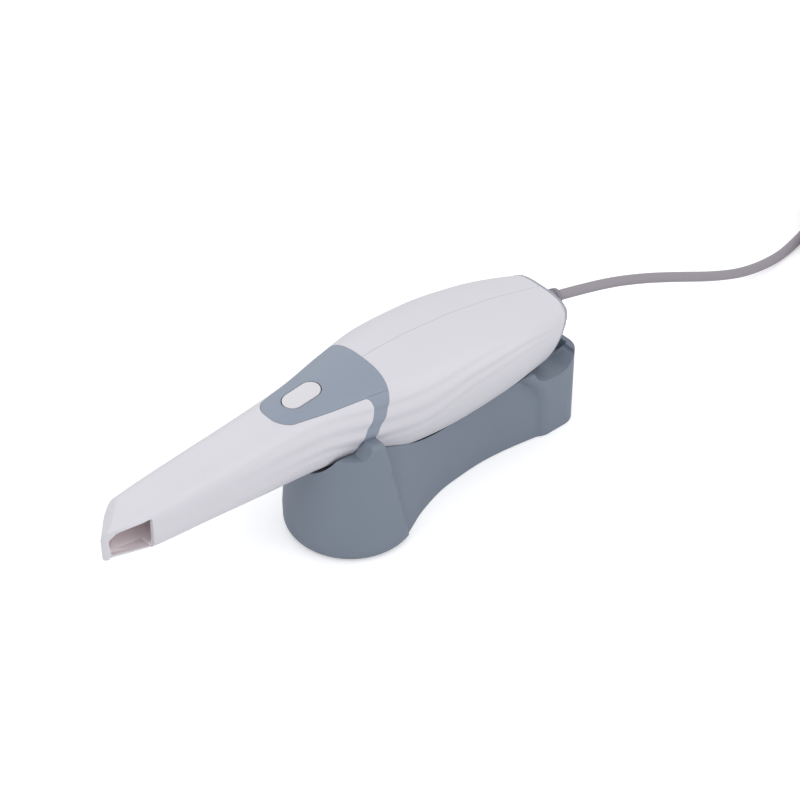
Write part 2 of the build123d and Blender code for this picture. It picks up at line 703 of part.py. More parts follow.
def saddle_face(flank, inset, z):
    """Outline of the saddle at one height, from one flank and its mirror image."""
    points = [Vector(x, y - inset, z) for x, y in flank]
    mirrored = [Vector(p.X, -p.Y, p.Z) for p in points]
    parameters = [k / (len(flank) - 1) for k in range(len(flank))]
    near = Edge.make_spline(points, parameters=parameters)
    back = Edge.make_line(points[-1], mirrored[-1])
    far = Edge.make_spline(mirrored[::-1], parameters=parameters)
    front = Edge.make_line(mirrored[0], points[0])
    return Wire([near, back, far, front])


def saddle(inset=0.0, top=SADDLE_SHAPE_Z):
    """Waisted body between the column and the rear pillar, slimmer towards the top."""
    foot = saddle_face(SADDLE_FOOT, inset, 0)
    crest = saddle_face(SADDLE_CREST, inset, SADDLE_SHAPE_Z)
    body = Solid.make_loft([foot, crest], ruled=True)
    return body & level_slice(0, top)


def pillar(inset, top):
    """Straight lower part of the rear pillar."""
    length = PILLAR_REAR_X - PILLAR_FRONT_X - 2 * inset
    outline = RectangleRounded(length, 2 * (PILLAR_HALF - inset), PILLAR_ROUND - inset)
    return Pos((PILLAR_REAR_X + PILLAR_FRONT_X) / 2, 0, 0) * extrude(outline, amount=top)


def pillar_shoulder():
    """Upper part of the pillar, which carries the seat and leans forwards over the saddle."""
    sections = []
    for z, front_x in PILLAR_LEAN:
        outline = RectangleRounded(PILLAR_REAR_X - front_x, 2 * PILLAR_HALF, PILLAR_ROUND)
        sections.append(Pos((PILLAR_REAR_X + front_x) / 2, 0, z) * outline)
    return loft(sections, ruled=True)


def stand_top():
    """Everything under the stand's top line: front rim, ears, saddle and seat."""
    ear_front = (EAR_FRONT_X, RIM_LOW_Z)
    ear_rear = (EAR_REAR_X, COLUMN_TOP_Z + 1)
    ear_peak = (EAR_FRONT_X + EAR_RUN, COLUMN_TOP_Z + 1)
    seat_rear = (PILLAR_REAR_X - BACK_WALL, BACK_WALL_Z)
    ear_brow = (EAR_FRONT_X + 3.1, COLUMN_TOP_Z - 2.0)
    rise = Spline(ear_front, ear_brow, ear_peak, tangents=[(1, 0.5), (1, 0)])
    back = Line(ear_rear, BACK_FOOT)
    belly = Spline(BACK_FOOT, *BELLY_LINE, SEAT_FRONT, tangents=[(1, -1), (1, 0)])
    seat = Spline(SEAT_FRONT, (88.8, SEAT_Z + 1.7), (94, SEAT_Z), (103.5, SEAT_Z + 1.0),
                  (seat_rear[0] - 0.8, SEAT_Z + 4.4), seat_rear, tangents=[(0.5, -1), (0.1, 1)])
    rest = Polyline(seat_rear, (140, BACK_WALL_Z), (140, -1), (-WIDE, -1), (-WIDE, FRONT_RIM_Z),
                    (-FOOT_R, FRONT_RIM_Z), ear_front)
    face = make_face([rise, Line(ear_peak, ear_rear), back, belly, seat, rest])
    return extrude(Plane.XZ * face, amount=WIDE, both=True)


def tip_path():
    """Space that the tip sweeps between the ears when it is pulled off forwards."""
    ring = []
    for k in range(SECTION_POINTS):
        point = Vector(BAND_FRONT_X, 0, 0)
        for _ in range(8):
            point = section_point(point.X, -pi / 2 + 2 * pi * k / SECTION_POINTS, -SLIP_GAP)
            point = Vector(BAND_FRONT_X + COLLAR_LEAN * (point.Z - collar_z()), point.Y, point.Z)
        ring.append(point)
    return extrude(Face(ring_curve(ring, smooth_rings())), amount=WIDE, dir=(-1, 0, TIP_SLIDE_RISE))


def stand_hollow():
    """Space under the stand's skin, open at the bottom."""
    top_z = HOLLOW_TOP_Z
    foot = FOOT_R - STAND_WALL - HOLLOW_GAP
    cone = Cone(foot, foot - top_z * tan(radians(COLUMN_DRAFT)), top_z,
                align=(Align.CENTER, Align.CENTER, Align.MIN))
    cone = cone & column_front(STAND_WALL)
    return cone + saddle(STAND_WALL, SADDLE_LOW_Z) + pillar(STAND_WALL, SADDLE_LOW_Z)


def screw_places():
    return [(FRONT_SCREW_X, 0.0), (MID_SCREW_X, 0.0), (REAR_SCREW_X, 0.0)]


def stand_body(envelope):
    """Moulded stand: column with ears, waisted saddle and rear pillar, hollow below."""
    body = column() + saddle() + pillar(0.0, PILLAR_LEAN[0][0]) + pillar_shoulder()
    body = body & stand_top()
    body = body - envelope - tip_path()
    body = body - stand_hollow() - level_slice(-1, SKIRT_GAP)
    for x, y in screw_places():
        bore = cylinder_up(SCREW_R, SCREW_HOLE_DEPTH)
        boss = Pos(x, y, PLATE_TOP) * (cylinder_up(BOSS_R, HOLLOW_TOP_Z) - bore)
        roof = HOLLOW_TOP_Z if x < COLUMN_REAR_X else SADDLE_LOW_Z
        body += boss & level_slice(PLATE_TOP, roof + 1)
    return body


def plate_outline(inset, height):
    """Flat outline inside the stand's wall, as a plate of one height."""
    foot = FOOT_R - STAND_WALL - PLATE_GAP - inset
    inwards = STAND_WALL + inset + FIT_GAP
    disc = cylinder_up(foot, height) & column_front(inwards)
    return disc + saddle(inwards, height) + pillar(inwards, height)


def base_plate():
    """Steel plate let into the underside, with wells for the screw heads."""
    plate = Pos(0, 0, PLATE_LOW) * plate_outline(0.0, PLATE_THICK)
    hole = cylinder_up(SCREW_R + SCREW_GAP, 10)
    well = cylinder_up(SCREW_HEAD_R + SCREW_GAP, SCREW_HEAD_HEIGHT + 0.1)
    for x, y in screw_places():
        plate -= Pos(x, y, PLATE_LOW) * (hole + well)
    return plate


def base_screw(x, y):
    head = cylinder_up(SCREW_HEAD_R, SCREW_HEAD_HEIGHT)
    return Pos(x, y, PLATE_LOW) * (head + cylinder_up(SCREW_R, PLATE_THICK + SCREW_DEPTH))


def stand_ballast():
    """Weight on the plate inside the column, clear of the screw boss."""
    disc = Pos(0, 0, PLATE_TOP) * cylinder_up(INNER_R, BALLAST_HEIGHT)
    disc = disc & column_front(STAND_WALL + BALLAST_GAP)
    return disc - Pos(FRONT_SCREW_X, 0, 0) * cylinder_up(BOSS_R + 1.0, 30)


def foot_pad_front():
    """Round pad under the column, open at the screw."""
    ring = cylinder_up(INNER_R, PAD_THICK) & plate_outline(1.0, PAD_THICK)
    return ring - Pos(FRONT_SCREW_X, 0, 0) * cylinder_up(SCREW_HEAD_R + 0.6, 10)


def foot_pad_rear():
    """Long pad across the pillar's foot."""
    x, length, width = REAR_PAD
    pad = extrude(SlotOverall(length, width), amount=PAD_THICK)
    return Pos(x, 0, 0) * Rot(0, 0, 90) * pad


CABLE_RUN = [(110.2, 0, 55.4), (134, 0, 49.4), (159, 0, 40.2), (184, 0, 28.6), (208, 0.4, 16.6),
             (231, 1.4, 7.0), (254, 3.0, 2.5), (276, 5.6, 2.35), (296, 8.4, 3.2)]
CABLE_TAIL = [(281, 7, 8.0), (298, 23, 4.6), (324, 27, 3.9), (346, 14, 3.9), (355, -10, 3.9)]


def tube(points):
    """Round cable along straight runs with the largest arcs that the runs allow."""
    corners = [Vector(*p) for p in points]
    radii = []
    for a, b, c in zip(corners, corners[1:], corners[2:]):
        turn = radians((b - a).get_angle(c - b))
        radii.append(0.45 * min((b - a).length, (c - b).length) / tan(turn / 2))
    path = FilletPolyline(*corners, radius=radii)
    start = Plane(origin=path @ 0, z_dir=path % 0)
    return sweep(start * Circle(CABLE_R), path=path)


def cable_coil():
    """Closed solid of the outer shape of the coil."""
    profile = chamfer(Rectangle(2 * COIL_HALF_WIDTH, COIL_HEIGHT).vertices(), CABLE_R)
    ring = revolve(Plane.XZ * Pos(COIL_R, COIL_HEIGHT / 2) * profile, Axis.Z)
    return Pos(COIL_CENTRE[0], COIL_CENTRE[1], 0) * ring


def plug_frame():
    a, b = Vector(*CABLE_TAIL[-2]), Vector(*CABLE_TAIL[-1])
    return Plane(origin=b, x_dir=(a - b).cross(Vector(0, 0, 1)), z_dir=b - a)


def plug_relief():
    length, r = RELIEF_LENGTH, CABLE_R
    start, end = RELIEF_RISE
    profile = make_face(Polyline((0, 0), (r + start, 0), (r + end, length), (0, length), close=True))
    return plug_frame() * revolve(Plane.XZ * profile, Axis.Z)


def plug_body():
    length, width, height = PLUG_BODY
    body = Pos(0, 0, RELIEF_LENGTH) * extrude(RectangleRounded(width, height, 2.0), amount=length)
    return plug_frame() * body


def plug_shell():
    length, width, height = PLUG_SHELL
    start = RELIEF_LENGTH + PLUG_BODY[0]
    shell = Pos(0, 0, start) * extrude(Rectangle(width, height), amount=length)
    wall = 2 * PLUG_SHELL_WALL
    bore = Rectangle(width - wall, height - wall)
    hollow = Pos(0, 0, start + PLUG_FLOOR) * extrude(bore, amount=length)
    tongue = Pos(0, 0.9, start) * extrude(Rectangle(width - 1.6, 1.6), amount=length - 1.2)
    return plug_frame() * (shell - hollow + tongue)


def save(shape, node):
    export_step(shape, f"parts/{node}.step")


def main():
    form = handpiece()
    core = plain_form(SNOUT_INSET)
    inner = plain_form(SNOUT_INSET + SNOUT_WALL)
    tip_core = plain_form(TIP_WALL)
    envelope = plain_form(-FIT_GAP)
    save(tip_sleeve(form, tip_core), "tip_sleeve")
    save(tip_mirror(tip_core), "tip_mirror")
    save(collar(form, core), "collar")
    save(scan_button(), "scan_button")
    save(button_plunger(), "button_plunger")
    save(tact_switch(), "tact_switch")
    save(switch_board(inner), "switch_board")
    save(snout(core, inner), "snout")
    save(front_glass(inner), "front_glass")
    near, far = shells(form, core)
    save(near, "shell_near")
    save(far, "shell_far")
    save(rear_gasket(form), "rear_gasket")
    save(rear_cap(form), "rear_cap")
    save(cable_gland(), "cable_gland")
    save(optical_bench(core, inner), "optical_bench")
    save(lens_barrel(-BARREL_Y), "camera_barrel")
    save(lens_barrel(BARREL_Y), "projector_barrel")
    save(optics_board(-BARREL_Y), "sensor_board")
    save(optics_board(BARREL_Y), "projector_board")
    save(main_board(), "main_board")
    save(heat_spreader(), "heat_spreader")
    save(stand_body(envelope), "stand_body")
    save(base_plate(), "base_plate")
    save(stand_ballast(), "stand_ballast")
    save(foot_pad_front(), "foot_pad_front")
    save(foot_pad_rear(), "foot_pad_rear")
    for number, place in enumerate(screw_places(), 1):
        save(base_screw(*place), f"base_screw_{number}")
    save(tube(CABLE_RUN), "cable_run")
    save(cable_coil(), "cable_coil")
    save(tube(CABLE_TAIL), "cable_tail")
    save(plug_relief(), "plug_relief")
    save(plug_body(), "plug_body")
    save(plug_shell(), "plug_shell")


main()
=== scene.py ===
import json
from bisect import bisect_right
from math import atan, cos, pi, radians, sin, tan

import bmesh
import bpy
from bpy.props import FloatProperty, FloatVectorProperty, IntProperty, PointerProperty
from mathutils import Matrix, Vector


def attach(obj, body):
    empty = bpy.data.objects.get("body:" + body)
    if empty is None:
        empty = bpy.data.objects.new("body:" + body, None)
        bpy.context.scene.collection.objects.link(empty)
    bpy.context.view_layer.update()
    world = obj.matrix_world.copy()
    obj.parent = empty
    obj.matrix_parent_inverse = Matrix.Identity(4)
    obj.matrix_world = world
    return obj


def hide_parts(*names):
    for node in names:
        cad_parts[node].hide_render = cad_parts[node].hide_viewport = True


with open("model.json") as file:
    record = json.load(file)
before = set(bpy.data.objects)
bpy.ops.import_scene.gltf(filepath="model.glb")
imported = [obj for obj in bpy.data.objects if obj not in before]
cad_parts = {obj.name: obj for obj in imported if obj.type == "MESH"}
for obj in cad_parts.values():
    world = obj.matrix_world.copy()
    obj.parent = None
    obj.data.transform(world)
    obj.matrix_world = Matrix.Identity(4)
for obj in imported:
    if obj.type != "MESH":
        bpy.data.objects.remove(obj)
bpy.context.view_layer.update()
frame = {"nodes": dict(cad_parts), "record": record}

bl_info = {
    "name": "Intraoral Scanner",
    "version": (1, 0, 0),
    "blender": (4, 5, 0),
    "location": "3D View > Sidebar > Scanner",
    "description": "A dental scanner with a slip-on tip, resting in its desktop stand",
    "category": "Object",
}

MM = 0.001
SLOT_OF = {part["node"]: part["material_slot"] for part in frame["record"]["subparts"]}

# Sections of the handpiece in millimetres: place along X, half width, top, bottom,
# sharpness of the upper and lower halves, share of the height above the widest line
HALF, TOP, BOTTOM, UPPER, LOWER, SHARE = range(1, 7)
SECTIONS = [
    (-126.0, 5.0, 66.8, 54.6, 4.2, 4.2, 0.50),
    (-100.0, 9.5, 69.0, 50.0, 4.1, 3.9, 0.50),
    (-75.14, 11.1, 71.1, 48.0, 3.8, 3.4, 0.49),
    (-50.0, 12.4, 73.2, 45.1, 3.4, 2.9, 0.45),
    (-25.0, 14.2, 75.6, 41.6, 3.0, 2.3, 0.39),
    (0.0, 19.2, 78.1, 35.4, 2.7, 1.9, 0.33),
    (20.0, 23.4, 78.9, 28.2, 2.6, 1.75, 0.31),
    (45.0, 24.4, 77.3, 25.6, 2.6, 1.68, 0.30),
    (70.0, 22.8, 73.3, 26.3, 2.65, 1.66, 0.29),
    (92.0, 18.2, 67.8, 27.4, 2.9, 1.64, 0.24),
    (110.0, 12.6, 62.6, 28.8, 2.7, 1.64, 0.18),
]

# Three shallow flutes along each flank: place along X, their heights, and their depth
FLUTES = [
    (-126.0, 62.0, 60.7, 59.4, 0.0),
    (-100.0, 64.0, 60.0, 56.0, 0.0),
    (-75.14, 66.2, 61.2, 56.3, 0.0),
    (-50.0, 68.3, 62.4, 56.6, 0.09),
    (-25.0, 69.4, 62.8, 56.3, 0.22),
    (0.0, 68.0, 60.0, 51.6, 0.3),
    (20.0, 68.2, 59.9, 51.2, 0.3),
    (45.0, 69.0, 64.2, 59.0, 0.27),
    (70.0, 67.0, 63.4, 59.8, 0.2),
    (92.0, 61.6, 58.4, 55.2, 0.08),
    (110.0, 56.8, 54.0, 51.2, 0.0),
]
FLUTE_EDGE = 4.0
FLUTE_SHOULDER = 0.3
RING_POINTS = 200
STATION_STEP = 1.5

# Stretches of the form along X that each piece and the hollow in it are made from
HANDLE_SPAN, HANDLE_HOLLOW = (-12.0, 108.0), (-20.0, 110.0)
COLLAR_SPAN, COLLAR_HOLLOW = (-50.0, 14.0), (-60.0, 24.0)
TIP_SPAN, TIP_HOLLOW = (-126.0, 6.0), (-126.0, 10.0)

# Walls, clearances and the places of the seams, in millimetres
TIP_WALL = 1.8
SHELL_WALL = 2.3
COLLAR_TOP_X = 6.8
COLLAR_LEAN = 0.36
BAND_WIDTH = 5.4
BAND_FRONT_X = COLLAR_TOP_X - BAND_WIDTH
REAR_X = 101.7
REAR_LEAN = 0.14
REAR_TOP_Z = 64.4
CAP_THICK = 1.6
GASKET_THICK = 0.5
GASKET_FRONT_X = REAR_X - CAP_THICK - GASKET_THICK

# How far the prisms that cut the form reach: past it along X, down, up and to the sides
FAR = 300.0
CUT_LOW, CUT_HIGH, CUT_SIDE = -20.0, 120.0, 60.0

# The tongue of the collar, seen from above
TONGUE_REACH = 39.0
TONGUE_HALF = 9.8
TONGUE_ROOT_HALF = 15.7
TONGUE_NOSE = 9.0
TONGUE_NOSE_ROUND = 7.5
TONGUE_FLOOR_Z = 66.0
TONGUE_CUT = 40.0
SLOT_DEEPER = 2.0
WING_X = -2.4
WING_ROUND = 3.0

# The slanted end of the tip: its prisms reach well past the tip on the other sides
TIP_REACH = 115.6
END_SLANT = radians(41)
FLANK_HALF = 5.9
FLANK_ANGLE = radians(12.5)
NEAR_CORNER = 2.6
FAR_CORNER = 13.0
NOSE_BACK_X = 40.0
NOSE_LOW, NOSE_TALL = 20.0, 80.0
TOP_ROUND = 8.8
BOTTOM_ROUND = 2.0
TOP_RISE = 0.18
BOTTOM_RISE = 0.16
BROW_SIDE, BROW_BACK = 150.0, 240.0
CAVITY_PLAY = 0.05
MIRROR_PLAY = 0.02

# The window in the tip's near side and the thin lip along its lower edge
WINDOW_FRONT_X = -116.2
WINDOW_BACK_X = -99.4
WINDOW_TOP_Z = 65.2
WINDOW_TOP_RISE = 0.8
WINDOW_CORNER = (3.3, 2.3)
WINDOW_FOOT = (1.3, 6.0)
WINDOW_EDGE = 0.8
WINDOW_CUT_Y, WINDOW_CUT_DEEP = -22.0, 20.0
LIP_BACK_Y = 7.4
LIP_FRONT_Y = 4.8
LIP_THICK = 0.4
LIP_SLOPE = 0.8
LIP_CUT_TALL, LIP_CUT_WIDE, LIP_CUT_UNDER = 12.0, 25.0, 3.0

# Hairline between the collar's top and its band
CREASE_X = (-3.6, 7.5)
CREASE_Z = 73.8
CREASE_WIDE = 0.1
CREASE_DEEP = 0.16
CREASE_SIDE = 30.0
CREASE_SPAN = (-10.0, 14.0)

# Key in the collar: its top just stands proud, a flange keeps it in, and its ends are
# rounded by nearly the whole of its half width
BUTTON_X = -22.8
BUTTON_LENGTH = 16.4
BUTTON_WIDTH = 8.6
BUTTON_HEIGHT = 2.6
BUTTON_PROUD = 0.15
BUTTON_EDGE = 0.5
END_ROUND = 0.999
FLANGE = 0.8
FLANGE_THICK = 0.8
KEY_HOLE_LOW, KEY_HOLE_DEEP = -12.0, 24.0

# The column's foot draws in towards the table, a little more in front. Points nearer to its
# axis than the skin's first distance stay, those past the second move in full, and nothing
# moves behind the rear limit.
FOOT_EASE = 1.2
FOOT_EASE_FRONT = 0.45
FOOT_EASE_HEIGHT = 14.0
FOOT_SKIN = (24.2, 25.5)
FOOT_REAR_X = 10.6

# Route of the cable in millimetres, as the solids have it: its run, the coil with the
# height and turns of each layer, the way out over the coil's top, and the tail
CABLE_RUN = [(110.2, 0, 55.4), (134, 0, 49.4), (159, 0, 40.2), (184, 0, 28.6), (208, 0.4, 16.6),
             (231, 1.4, 7.0), (254, 3.0, 2.5), (270, 6.0, 2.35)]
CABLE_CROSSING = [(290.2, -29.9, 11.1), (285.4, -25.1, 12.6), (281.8, -19.2, 15.6), (278.5, -11.4, 16.4),
                  (277.5, -2.0, 16.4), (280.6, 7.5, 14.8), (286.8, 16.6, 11.0)]
CABLE_TAIL = [(298, 23.5, 7.0), (324, 27, 3.9), (346, 14, 3.9), (355, -10, 3.9)]
COIL_CENTRE = (300.0, -16.0)
COIL_OUTER = 30.8
COIL_INNER = 17.0
COIL_START = radians(124)
COIL_LAYERS = ((2.3, 3.033), (6.7, 3.033), (11.1, 2.625))

# Meshes: how near points have to be to merge, the steps of rounded corners and of the key's
# rim, and the angles past which an edge stays sharp
MERGE = 0.002 * MM
CORNER_STEPS = 12
RIM_STEPS = 4
CREASE_ANGLE = radians(28)
STAND_CREASE_ANGLE = radians(20)

# Colours of the pieces that a user would leave as they are
TIP_INSIDE = (0.95, 0.86, 0.88)
# The window's lower and far sides: the inside's pink, darkened as painted shade
SILL_PAINTED_SHADE = (0.76, 0.68, 0.70)
MIRROR_TINT = (0.88, 0.83, 0.85)
GLASS_TINT = (0.80, 0.88, 0.92)
KEY_WHITE = (0.68, 0.665, 0.69)
RIM_GREY = (0.33, 0.36, 0.43)
GASKET_CREAM = (0.68, 0.64, 0.62)
GLAND_GREY = (0.235, 0.22, 0.245)
PLATE_GREY = (0.10, 0.11, 0.13)
PAD_BLACK = (0.02, 0.02, 0.022)
PLUG_BLACK = (0.018, 0.018, 0.02)
SNOUT_BLACK = (0.020, 0.020, 0.023)
BOARD_GREEN = (0.008, 0.07, 0.028)
SCREW_ZINC = (0.55, 0.55, 0.57)
PLUG_NICKEL = (0.72, 0.71, 0.70)
BENCH_ALLOY = (0.62, 0.63, 0.65)
BARREL_DARK = (0.05, 0.05, 0.055)
SWITCH_STEEL = (0.5, 0.5, 0.52)
BALLAST_IRON = (0.12, 0.12, 0.12)
FLOOR_PALE = (0.86, 0.86, 0.87)

# The studio, in metres: lamps are name, place, aim, size and power
VIEW_TURN = radians(41)
VIEW_TILT = radians(40)
VIEW_AIM = (0.0345, 0.0098, 0.0357)
VIEW_DISTANCE = 0.955
VIEW_LENS, VIEW_SENSOR = 108.0, 36.0
FLOOR_HALF = 3.0
FLOOR_GLOW = 0.35
AMBIENT = 0.72
AMBIENT_COLOUR = (0.97, 0.98, 1.0)
WHITE = (1, 1, 1, 1)
BLACK = (0, 0, 0, 1)
LAMPS = [
    ("key_light", (-0.9, -0.5, 1.6), (0.03, 0.0, 0.03), 1.2, 9.9),
    ("fill_light", (0.9, -1.3, 0.9), (0.03, 0.0, 0.03), 1.4, 6.5),
    ("back_light", (0.4, 1.4, 1.2), (0.03, 0.0, 0.05), 1.2, 3.8),
]


# The handpiece's form


def along(column, x, table=SECTIONS):
    """Value of one column of a table at x, smooth and without overshoot."""
    xs = [row[0] for row in table]
    vs = [row[column] for row in table]
    i = max(0, min(len(xs) - 2, bisect_right(xs, x) - 1))
    steps = [(vs[k + 1] - vs[k]) / (xs[k + 1] - xs[k]) for k in range(len(xs) - 1)]

    def slope(k):
        if k == 0 or k == len(xs) - 1:
            return steps[min(k, len(steps) - 1)]
        before, after = steps[k - 1], steps[k]
        return 0.0 if before * after <= 0 else 2 * before * after / (before + after)

    h = xs[i + 1] - xs[i]
    t = (x - xs[i]) / h
    return (vs[i] * (2 * t**3 - 3 * t**2 + 1) + h * slope(i) * (t**3 - 2 * t**2 + t)
            + vs[i + 1] * (3 * t**2 - 2 * t**3) + h * slope(i + 1) * (t**3 - t**2))


def fluted_lines(x):
    """Heights down the flank at x with their distance outwards: ridges between the flutes."""
    first, second, third, depth = (along(column, x, FLUTES) for column in range(1, 5))
    return [(first + FLUTE_EDGE, 0.0), (first + FLUTE_EDGE / 2, FLUTE_SHOULDER * depth), (first, -depth),
            ((first + second) / 2, depth), (second, -depth), ((second + third) / 2, depth),
            (third, -depth), (third - FLUTE_EDGE / 2, 0.0), (third - FLUTE_EDGE, 0.0)]


def outwards_at(lines, z):
    """How far the flank stands out at a height."""
    for (high, above), (low, below) in zip(lines, lines[1:]):
        if low <= z <= high:
            t = (z - low) / (high - low)
            return below + (above - below) * t * t * (3 - 2 * t)
    return 0.0


def section_shape(x, inset):
    """Half width, height of the widest line, and reaches and powers above and below it."""
    top = along(TOP, x) - inset
    bottom = along(BOTTOM, x) + inset
    wide_z = top - (top - bottom) * along(SHARE, x)
    return along(HALF, x) - inset, wide_z, top - wide_z, wide_z - bottom, along(UPPER, x), along(LOWER, x)


def section_ring(x, angles, inset):
    """Points on the handpiece's section at x, in metres; the outermost form has its flutes."""
    half, wide_z, up, down, upper, lower = section_shape(x, inset)
    lines = fluted_lines(x)
    ring = []
    for angle in angles:
        c, s = cos(angle), sin(angle)
        power, reach = (2 / upper, up) if s >= 0 else (2 / lower, down)
        y = half * abs(c) ** power
        z = wide_z + reach * abs(s) ** power * (1 if s >= 0 else -1)
        if inset == 0:
            y += outwards_at(lines, z)
        ring.append(Vector((x, y if c >= 0 else -y, z)) * MM)
    return ring


# Making and finishing meshes


def new_object(name, data):
    piece = bpy.data.objects.new(name, data)
    bpy.context.scene.collection.objects.link(piece)
    return piece


def object_from(bm, name):
    """A new object from a bmesh, with its faces turned outwards."""
    bmesh.ops.recalc_face_normals(bm, faces=bm.faces)
    mesh = bpy.data.meshes.new(name)
    bm.to_mesh(mesh)
    bm.free()
    return new_object(name, mesh)


def form(name, inset, span):
    """The handpiece's closed form over a stretch along X, moved in by inset."""
    front_x, rear_x = span
    rows = round((rear_x - front_x) / STATION_STEP)
    bm = bmesh.new()
    bmesh.ops.create_grid(bm, x_segments=rows, y_segments=RING_POINTS, size=0.5)
    angles = [-pi / 2 + 2 * pi * k / RING_POINTS for k in range(RING_POINTS + 1)]
    stations = [front_x + (rear_x - front_x) * k / rows for k in range(rows + 1)]
    rings = [section_ring(x, angles, inset) for x in stations]
    for vert in bm.verts:
        vert.co = rings[round((vert.co.x + 0.5) * rows)][round((vert.co.y + 0.5) * RING_POINTS)]
    bmesh.ops.remove_doubles(bm, verts=bm.verts, dist=MERGE)
    rims = [edge for edge in bm.edges if edge.is_boundary]
    bmesh.ops.holes_fill(bm, edges=rims, sides=0)
    return object_from(bm, name)


def rectangle(low_a, high_a, low_b, high_b):
    """Corners of a flat rectangle."""
    return [(low_a, low_b), (high_a, low_b), (high_a, high_b), (low_a, high_b)]


def prism(name, outline, rounds, depth, place):
    """A straight prism from a flat outline, some of its corners rounded, set by a matrix."""
    bm = bmesh.new()
    corners = [bm.verts.new((a * MM, b * MM, 0)) for a, b in outline]
    bm.faces.new(corners)
    for index, radius in rounds.items():
        here = Vector(outline[index])
        ahead = Vector(outline[(index + 1) % len(outline)]) - here
        behind = here - Vector(outline[index - 1])
        reach = radius * tan(abs(ahead.angle(behind)) / 2)
        bmesh.ops.bevel(bm, geom=[corners[index]], offset=reach * MM, offset_type="OFFSET",
                        segments=CORNER_STEPS, profile=0.5, affect="VERTICES", clamp_overlap=False,
                        material=-1)
    grown = bmesh.ops.extrude_face_region(bm, geom=bm.faces[:], use_keep_orig=True)
    tops = [item for item in grown["geom"] if isinstance(item, bmesh.types.BMVert)]
    bmesh.ops.translate(bm, verts=tops, vec=(0, 0, depth * MM))
    bmesh.ops.transform(bm, matrix=place, verts=bm.verts)
    return object_from(bm, name)


def upright(z):
    """Matrix that sets an XY outline at a height."""
    return Matrix.Translation((0, 0, z * MM))


def crosswise(y):
    """Matrix that sets an XZ outline on a plane across Y, its depth along +Y."""
    return Matrix(((1, 0, 0, 0), (0, 0, 1, y * MM), (0, 1, 0, 0), (0, 0, 0, 1)))


def carve(piece, *cuts):
    """Cuts, keeps or adds parts of a piece with other solids, which are used up."""
    for operation, cutter in cuts:
        step = piece.modifiers.new(operation.lower(), "BOOLEAN")
        step.operation = operation
        step.solver = "EXACT"
        step.material_mode = "TRANSFER"
        step.object = cutter
    bpy.context.view_layer.update()
    shaped = piece.evaluated_get(bpy.context.evaluated_depsgraph_get())
    mesh = bpy.data.meshes.new_from_object(shaped)
    if not mesh.polygons:
        raise RuntimeError(f"nothing is left of {piece.name}")
    piece.modifiers.clear()
    piece.data = mesh
    for _, cutter in cuts:
        bpy.data.objects.remove(cutter)
    return piece


def smooth(piece, sharp_angle=CREASE_ANGLE):
    """Smooth shading that keeps the creases sharp."""
    piece.data.polygons.foreach_set("use_smooth", [True] * len(piece.data.polygons))
    piece.data.set_sharp_from_angle(angle=sharp_angle)
    return piece


def coat(piece, material):
    """Gives the whole of a piece one material."""
    piece.data.materials.clear()
    piece.data.materials.append(material)


def settle(piece, body, slot, *nodes):
    """Sets a piece on its body, and hides the nodes that it stands for."""
    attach(piece, body)
    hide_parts(*nodes)


def finish(piece, body, slot, material, *nodes):
    """Gives a piece its material and its place among the others."""
    coat(piece, material)
    settle(piece, body, slot, *nodes)


def smoothed_node(node, body, material, sharp_angle=CREASE_ANGLE, reshape=None):
    """A copy of a solid's mesh with its points merged and smooth faces."""
    bm = bmesh.new()
    bm.from_mesh(frame["nodes"][node].data)
    bmesh.ops.remove_doubles(bm, verts=bm.verts, dist=MERGE)
    if reshape:
        reshape(bm)
    mesh = bpy.data.meshes.new(node + "_finish")
    bm.to_mesh(mesh)
    bm.free()
    piece = smooth(new_object(node + "_finish", mesh), sharp_angle)
    finish(piece, body, SLOT_OF[node], material, node)
    return piece


# Materials


class Strand:
    """An output of a shader node; sums and products with it add Math nodes."""

    def __init__(self, shading, socket):
        self.shading = shading
        self.socket = socket

    def combine(self, operation, first, second):
        return self.shading.node("ShaderNodeMath", {"operation": operation}, {0: first, 1: second})

    def __add__(self, other):
        return self.combine("ADD", self, other)

    def __radd__(self, other):
        return self.combine("ADD", other, self)

    def __mul__(self, other):
        return self.combine("MULTIPLY", self, other)

    def __rmul__(self, other):
        return self.combine("MULTIPLY", other, self)


class Shading:
    """The nodes of one material or of the surroundings, its owner."""

    def __init__(self, owner):
        owner.use_nodes = True
        self.owner = owner
        self.tree = owner.node_tree
        self.tree.nodes.clear()

    def node(self, kind, settings=None, links=None, output=0):
        """Adds a node, sets it up, links its sockets and returns one of its outputs."""
        node = self.tree.nodes.new(kind)
        for key, value in (settings or {}).items():
            setattr(node, key, value)
        for key, value in (links or {}).items():
            if isinstance(value, Strand):
                self.tree.links.new(value.socket, node.inputs[key])
            else:
                node.inputs[key].default_value = value
        return Strand(self, node.outputs[output]) if len(node.outputs) else None

    def place(self):
        """Object coordinates, in metres."""
        return self.node("ShaderNodeTexCoord", output="Object")

    def noise(self, scale, detail=3.0, roughness=0.5):
        return self.node("ShaderNodeTexNoise", None, {
            "Vector": self.place(), "Scale": scale, "Detail": detail, "Roughness": roughness})

    def tint(self, colour, shade, mask):
        """The colour, and a darker or lighter shade of it where the mask is high."""
        other = tuple(min(1.0, channel * shade) for channel in colour[:3]) + (1.0,)
        return self.node("ShaderNodeMix", {"data_type": "RGBA"},
                         {"Factor": mask, 6: tuple(colour[:3]) + (1.0,), 7: other}, output=2)

    def surface(self, settings, height=None, depth=0.0, strength=0.0):
        """The shader itself, with a bump from a height if one is given, its depth in metres."""
        if height is not None:
            settings["Normal"] = self.node("ShaderNodeBump", None, {
                "Height": height, "Distance": depth, "Strength": strength})
        shader = self.node("ShaderNodeBsdfPrincipled", None, settings)
        self.node("ShaderNodeOutputMaterial", None, {"Surface": shader})
        return self.owner


